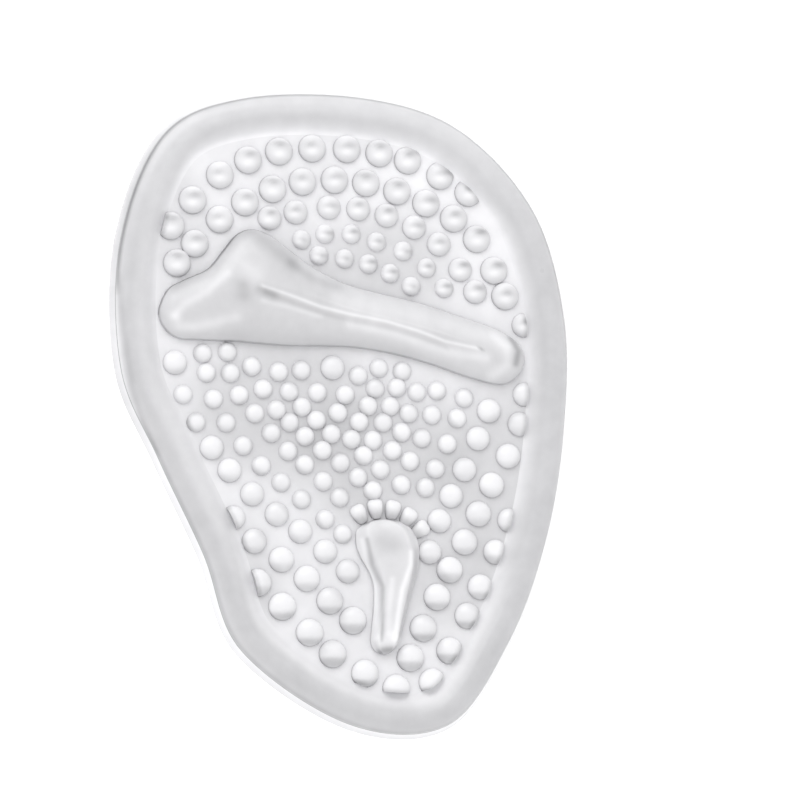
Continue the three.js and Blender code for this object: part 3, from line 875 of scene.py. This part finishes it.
class PaintedShading:
    """Painted light and shade of the gel, as a tone from 0, darkest, to 1, brightest"""

    def __init__(self, sizes):
        self.sizes = sizes
        self.marks = {
            form: [
                PaintedMark(place_of(sizes, width, 0).x, change, [place_of(sizes, *point) for point in path])
                for width, change, path in rows
            ]
            for form, rows in PAINTED_MARKS.items()
        }
        self.foot = self.tree(foot_points(sizes, 4 * OUTLINE_SIDES))
        places = list(nub_places(sizes))
        self.nubs = self.tree([centre.xy for centre, _ in places])
        self.radii = [radius for _, radius in places]
        self.cut = [self.foot.find(centre.xy.to_3d())[2] < radius for centre, radius in places]

    def tree(self, points):
        """Tree in which the nearest of the flat points is found"""
        tree = KDTree(len(points))
        for i, point in enumerate(points):
            tree.insert(point.to_3d(), i)
        tree.balance()
        return tree

    def at(self, form, place, lie, normal):
        """Tone of painted light and shade of a form at a place, where lie is its place on the form"""
        flat = place.xy
        share = Vector((flat.x / self.sizes.width, flat.y / self.sizes.length))
        steep = 1 - max(normal.z, 0)
        tone = PAINTED_TONES.get(form, 0)
        if form == WALL:
            tone -= self.wall_shade(share, place.z)
        elif form == BORDER:
            tone += self.border_light(share, lie.x)
        # Painted shade along the ridge's steep foot, darker on the toe side, and painted light on its heel
        # side
        elif form == RIDGE_FORM:
            toe_side = fade(lie.y, 0, 0.5)
            heel_side = fade(-lie.y, 0.2, 0.8)
            tone -= (0.24 + 0.2 * toe_side) * fade(steep, *RIDGE_FOOT_STEEPNESS) - 0.06 * heel_side
        # Painted shade along the keyhole's steep foot
        elif form == KEYHOLE_FORM:
            tone -= 0.22 * fade(steep, *FOOT_STEEPNESS)
        # Painted shade along the petal's steep foot and towards its inner end
        elif form == PETAL_FORM:
            inner_end = fade(-lie.x, -0.3, 0.6)
            tone -= 0.3 * fade(steep, *FOOT_STEEPNESS) + 0.3 * inner_end
        elif form == NUB_FORM:
            tone = self.nub(flat, share, lie, steep)
        # Painted highlights and lines of painted shade
        for mark in self.marks.get(form, ()):
            near = self.distance(flat, mark.path) / mark.width
            if near < 3:
                tone += mark.change * math.exp(-near * near)
        return min(1.0, max(0.0, tone))

    def wall_shade(self, share, height):
        """How much darker the side wall is at its foot, at the left and at its top by the toes"""
        right, toe = picture_axes(share.normalized())
        edge_height = self.sizes.edge_height
        foot = 1 - fade(height, 0, edge_height / 3)
        top = fade(height, edge_height / 2, edge_height) * fade(toe, 0, 0.6)
        left = fade(-right, 0.5, 0.9) * fade(toe, -0.3, 0)
        return 0.12 * left + 0.2 * foot + 0.35 * top

    def border_light(self, share, inward):
        """Painted light and shade of the border: how much brighter it is, by side and by the share of its
        width from the rim, less a painted dark line along the rim
        """
        right, toe = picture_axes(share.normalized())
        rim = self.sizes.edge_slope / self.sizes.border_width
        line = 1 - fade(inward, rim + 0.01, rim + 0.07)
        outer = 1 - fade(inward, 0.15, 0.35)
        inner = fade(inward, 0.85, 1)
        # Painted light and shade of a fold at the left, which the mesh doesn't have
        folded = fade(-right, 0.8, 0.95) * fade(toe, -0.2, -0.05) * (1 - fade(toe, 0.25, 0.35))
        toe_end = fade(toe, 0.3, 1)
        heel_end = fade(-toe, 0.3, 0.8)
        dark_line = (0.2 + 0.26 * fade(toe, 0, 0.6)) * (1 - folded) * line
        roll = (0.1 * folded - 0.04 * toe_end + 0.04 * heel_end) * outer
        sides = {"toe": toe, "heel": -toe, "left": -right, "right": right}
        slope = max(row.bright * fade(sides[row.side], *row.round) * fade(inward, *row.across)
                    for row in SLOPES)
        return 0.1 * toe_end - dark_line + roll + slope + 0.05 * inner

    def nub(self, flat, share, lie, steep):
        """Tone of painted light and shade of a nub, lit one way before the toe ridge and another behind
        it, with a painted dark rim at its foot and painted shade where it is cut at the border
        """
        number = self.nubs.find(flat.to_3d())[1]
        size = fade(self.radii[number], self.sizes.nub_small / 2, self.sizes.nub_large / 2)
        drift = Vector((math.sin(2.3 * number), math.cos(1.7 * number)))
        face = picture_axes(lie)
        past_ridge = share.y > 0.14 - 0.25 * share.x
        lights = self.toe_nub if past_ridge else self.heel_nub
        tone = lights(face, size, drift, share)
        # Painted dark rim of shade round the nub's steep foot
        tone -= (0.08 + 0.42 * size) * fade(steep, *NUB_FOOT_STEEPNESS)
        # Painted shade on nubs that are cut at the foot of the border
        if self.cut[number]:
            near = self.foot.find(flat.to_3d())[2]
            tone -= 0.28 * (1 - fade(near, 0, 0.2 * self.sizes.nub_large))
        return tone

    def toe_nub(self, face, size, drift, share):
        """Nub past the ridge: painted shade across it, over a painted highlight"""
        small = 1 - size
        right = fade(share.x, 0.05, 0.3) * size
        shade_middle = Vector((-0.12 + 0.35 * small + 0.3 * right, 0.06 + 0.28 * size)) + 0.17 * drift
        dark = 0.25 + 0.06 * right + 0.06 * drift.y
        dark *= self.spot(face - shade_middle, 0.55 + 0.1 * drift.x, 0.27)
        glint = Vector((-0.08 - 0.25 * small, -0.26))
        bright = 0.08 * fade(face.y, 0.5, 0.8) + 0.2 * self.spot(face - glint, 0.48, 0.28)
        return TOE_NUB_PAINTED_TONE + bright - dark - 0.12 * small * fade(face.x, 0.4, 0.9)

    def heel_nub(self, face, size, drift, share):
        """Nub behind the ridge: painted light, with painted shade on the heel side of a soft edge"""
        dark = (0.06 + 0.2 * fade(-share.y, 0.12, 0.36)) * (0.4 + 0.6 * size)
        dark *= fade(-face.y + 0.1 * drift.x, 0.2, 0.6) * (1 - 0.5 * fade(-face.y, 0.75, 0.95))
        dark += 0.1 * fade(-face.dot(drift), 0.3, 0.9)
        dark += 0.14 * (1 - size) * fade(face.length, 0.5, 1)
        return HEEL_NUB_PAINTED_TONE + 0.03 * drift.y - dark

    def spot(self, away, wide, high):
        """1 in the middle of a soft spot and 0 far from it"""
        return math.exp(-(away.x / wide) ** 2 - (away.y / high) ** 2)

    def distance(self, point, path):
        """Distance from a flat point to a path"""
        if len(path) == 1:
            return (point - path[0]).length
        return min(self.to_stretch(point, a, b) for a, b in zip(path, path[1:]))

    def to_stretch(self, point, start, end):
        """Distance from a flat point to one straight stretch of a path"""
        along = end - start
        way = min(1.0, max(0.0, (point - start).dot(along) / along.length_squared))
        return (point - start - along * way).length


class Nodes:
    """Short ways to add and join the nodes of one material"""

    def __init__(self, name):
        self.material = bpy.data.materials.new(name)
        self.material.use_nodes = True
        self.tree = self.material.node_tree
        self.shader = self.tree.nodes["Principled BSDF"]

    def add(self, kind, inputs=(), **settings):
        """New node with its inputs and settings filled in"""
        node = self.tree.nodes.new(kind)
        for key, value in settings.items():
            setattr(node, key, value)
        return self.fill(node, dict(inputs))

    def fill(self, node, inputs):
        """Links outputs to a node's inputs, or sets their plain values"""
        for key, value in inputs.items():
            if isinstance(value, bpy.types.NodeSocket):
                self.tree.links.new(value, node.inputs[key])
            else:
                node.inputs[key].default_value = value
        return node

    def math(self, operation, *values):
        """Sum, product or the like of numbers"""
        return self.add("ShaderNodeMath", enumerate(values), operation=operation).outputs[0]

    def vector(self, operation, *values):
        """The same for vectors"""
        return self.add("ShaderNodeVectorMath", enumerate(values), operation=operation).outputs

    def mix(self, share, first, second):
        """Colour between two colours"""
        factor, first_colour, second_colour, result = 0, 6, 7, 2
        inputs = {factor: share, first_colour: first, second_colour: second}
        return self.add("ShaderNodeMix", inputs, data_type="RGBA").outputs[result]

    def attribute(self, name):
        """Number that the mesh keeps under a name"""
        return self.add("ShaderNodeAttribute", attribute_name=name).outputs["Fac"]

    def noise(self, place, scale, detail=2.0):
        """Soft random pattern from 0 to 1"""
        node = self.add("ShaderNodeTexNoise", {"Vector": place, "Scale": scale, "Detail": detail})
        return node.outputs["Fac"]


def gel_material(look, sizes):
    """Milky clear gel, whose colour runs by its tone of painted light and shade from the shaded colour to
    the gel colour
    """
    nodes = Nodes("clear_gel")
    place = nodes.add("ShaderNodeTexCoord").outputs["Object"]
    waves = nodes.noise(place, WAVE_SCALE)
    clouds = nodes.noise(place, CLOUD_SCALE, detail=3.0)
    grain = nodes.noise(place, GRAIN_SCALE)
    # Painted light and shade kept on the corners, less the painted shade of the field's floor
    tone = nodes.math("SUBTRACT", nodes.attribute("tone"), nodes.math(
        "MULTIPLY", nodes.attribute("field"), painted_floor_shading(nodes, place, sizes)))
    for pattern, strength in ((clouds, 0.11), (waves, 0.1)):
        change = nodes.math("MULTIPLY", nodes.math("SUBTRACT", pattern, 0.5), strength)
        tone = nodes.math("ADD", tone, change)
    rough_spread, grain_height = 0.12, 0.02
    rough = nodes.math(
        "ADD", nodes.math("MULTIPLY", waves, rough_spread), look.roughness - rough_spread / 2)
    height = nodes.math("ADD", waves, nodes.math("MULTIPLY", grain, grain_height))
    bump = nodes.add("ShaderNodeBump", {
        "Height": height, "Distance": look.waviness, "Strength": 1.0})
    nodes.fill(nodes.shader, {
        "Base Color": nodes.mix(tone, (*look.shaded, 1), (*look.gel, 1)),
        "Roughness": rough,
        "Normal": bump.outputs["Normal"],
        "IOR": 1.41,
        "Subsurface Weight": look.scatter,
        "Subsurface Radius": (1.0, 1.0, 1.0),
        "Subsurface Scale": look.scatter_depth,
        "Coat Weight": look.coat,
        "Coat Roughness": 0.12,
    })
    return nodes.material


def painted_floor_shading(nodes, place, sizes):
    """Painted shade of the field's floor: how much greyer it is, from all its soft spots, less where a
    spot is painted light
    """
    core, rim = 0.35, 1.0
    grey = 0.0
    for spot in LIGHT_AND_SHADE_SPOTS:
        middle = (spot.across * sizes.width, spot.along * sizes.length, sizes.floor)
        reach = (1 / (spot.wide * sizes.width), 1 / (spot.long * sizes.length), 0)
        away = nodes.vector("SUBTRACT", place, middle)[0]
        scaled = nodes.vector("MULTIPLY", away, reach)[0]
        length = nodes.vector("LENGTH", scaled)["Value"]
        soft = nodes.add("ShaderNodeMapRange", {
            "Value": length, "From Min": core, "From Max": rim, "To Min": spot.grey, "To Max": 0.0},
            interpolation_type="SMOOTHSTEP")
        grey = nodes.math("ADD", grey, soft.outputs["Result"])
    return grey


def floor_material(settings):
    """Plain pale floor"""
    nodes = Nodes("pale_floor")
    nodes.fill(nodes.shader, {
        "Base Color": (*settings.floor, 1),
        "Roughness": 0.9,
        "Specular IOR Level": 0.0,
        "Emission Color": (1, 1, 1, 1),
        "Emission Strength": settings.floor_glow,
    })
    return nodes.material


class SetStage(bpy.types.Operator):
    """Pale floor, soft studio light and the camera"""

    bl_idname = "gel_pad.set_stage"
    bl_label = "Floor, light and camera"

    def execute(self, context):
        settings = context.scene.gel_pad_stage
        self.lay_floor(settings)
        self.light(context.scene, settings)
        self.camera(context.scene, settings)
        context.scene.view_settings.view_transform = "Standard"
        return {"FINISHED"}

    def lay_floor(self, settings):
        """Floor that reaches far past the pad on all sides"""
        shape = bmesh.new()
        bmesh.ops.create_grid(shape, x_segments=1, y_segments=1, size=3)
        bmesh.ops.translate(shape, verts=shape.verts, vec=(0, 0, -FLOOR_GAP))
        mesh = bpy.data.meshes.new("floor")
        shape.to_mesh(mesh)
        shape.free()
        mesh.materials.append(floor_material(settings))
        floor = bpy.data.objects.new("floor", mesh)
        bpy.context.scene.collection.objects.link(floor)
        floor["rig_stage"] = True

    def light(self, scene, settings):
        """Even light all round, and one large lamp past the toe end"""
        world = bpy.data.worlds.new("studio")
        world.use_nodes = True
        sky = world.node_tree.nodes["Background"]
        sky.inputs["Color"].default_value = (1, 1, 1, 1)
        sky.inputs["Strength"].default_value = settings.sky
        scene.world = world
        lamp = bpy.data.lights.new("key", "AREA")
        lamp.shape = "RECTANGLE"
        lamp.size = 0.5
        lamp.size_y = 0.35
        lamp.energy = settings.key
        key = bpy.data.objects.new("key", lamp)
        key.location = (-0.1, 0.45, 0.42)
        key.rotation_euler = (-key.location).to_track_quat("-Z", "Y").to_euler()
        scene.collection.objects.link(key)

    def camera(self, scene, settings):
        """Camera on the photo's line of sight, leaning so that the toe end shows to the left"""
        back = TO_CAMERA.normalized()
        up = TOEWARD.to_3d()
        up = (up - back * up.dot(back)).normalized()
        right = up.cross(back)
        frame_pixels = 800
        middle = frame_pixels / 2
        aim = (right * (middle - settings.origin_u) - up * (middle - settings.origin_v)) * (
            MM / settings.scale)
        lens = bpy.data.cameras.new("camera")
        lens.sensor_width = 36
        lens.lens = lens.sensor_width * settings.distance * settings.scale / (frame_pixels * MM)
        camera = bpy.data.objects.new("camera", lens)
        turn = Matrix((right, up, back)).transposed().to_4x4()
        camera.matrix_world = Matrix.Translation(aim + back * settings.distance) @ turn
        scene.collection.objects.link(camera)
        scene.camera = camera


class GelPadPanel(bpy.types.Panel):
    """Buttons that make the pad and its stage"""

    bl_idname = "VIEW3D_PT_gel_pad"
    bl_label = "Gel pad"
    bl_space_type = "VIEW_3D"
    bl_region_type = "UI"
    bl_category = "Gel pad"

    def draw(self, context):
        """One button for each operator, and the sizes, finish and stage below"""
        for operator in OPERATORS:
            self.layout.operator(operator.bl_idname)
        for key, group in GROUPS.items():
            for name in group.__annotations__:
                self.layout.prop(getattr(context.scene, key), name)


OPERATORS = (MakeSole, MakeRidge, MakeKeyhole, MakePetals, MakeNubs, FusePad, SetStage)
GROUPS = {"gel_pad_sizes": GelPadSizes, "gel_pad_look": GelPadLook, "gel_pad_stage": GelPadStage}
CLASSES = (*GROUPS.values(), *OPERATORS, GelPadPanel)


def register():
    """Registers the classes and hangs the settings on the scene"""
    for cls in CLASSES:
        bpy.utils.register_class(cls)
    for key, group in GROUPS.items():
        setattr(bpy.types.Scene, key, PointerProperty(type=group))


def unregister():
    """Takes back what register did"""
    for key in GROUPS:
        delattr(bpy.types.Scene, key)
    for cls in reversed(CLASSES):
        bpy.utils.unregister_class(cls)


def main():
    """Makes the pad and its stage"""
    register()
    bpy.ops.gel_pad.make_sole()
    bpy.ops.gel_pad.make_ridge()
    bpy.ops.gel_pad.make_keyhole()
    bpy.ops.gel_pad.make_petals()
    bpy.ops.gel_pad.make_nubs()
    bpy.ops.gel_pad.fuse()
    bpy.ops.gel_pad.set_stage()
    boxes = {"cad": CAD_BOX, "visual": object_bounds()}
    {name: [list(corner) for corner in box] for name, box in boxes.items()}


if __name__ == "__main__":
    main()
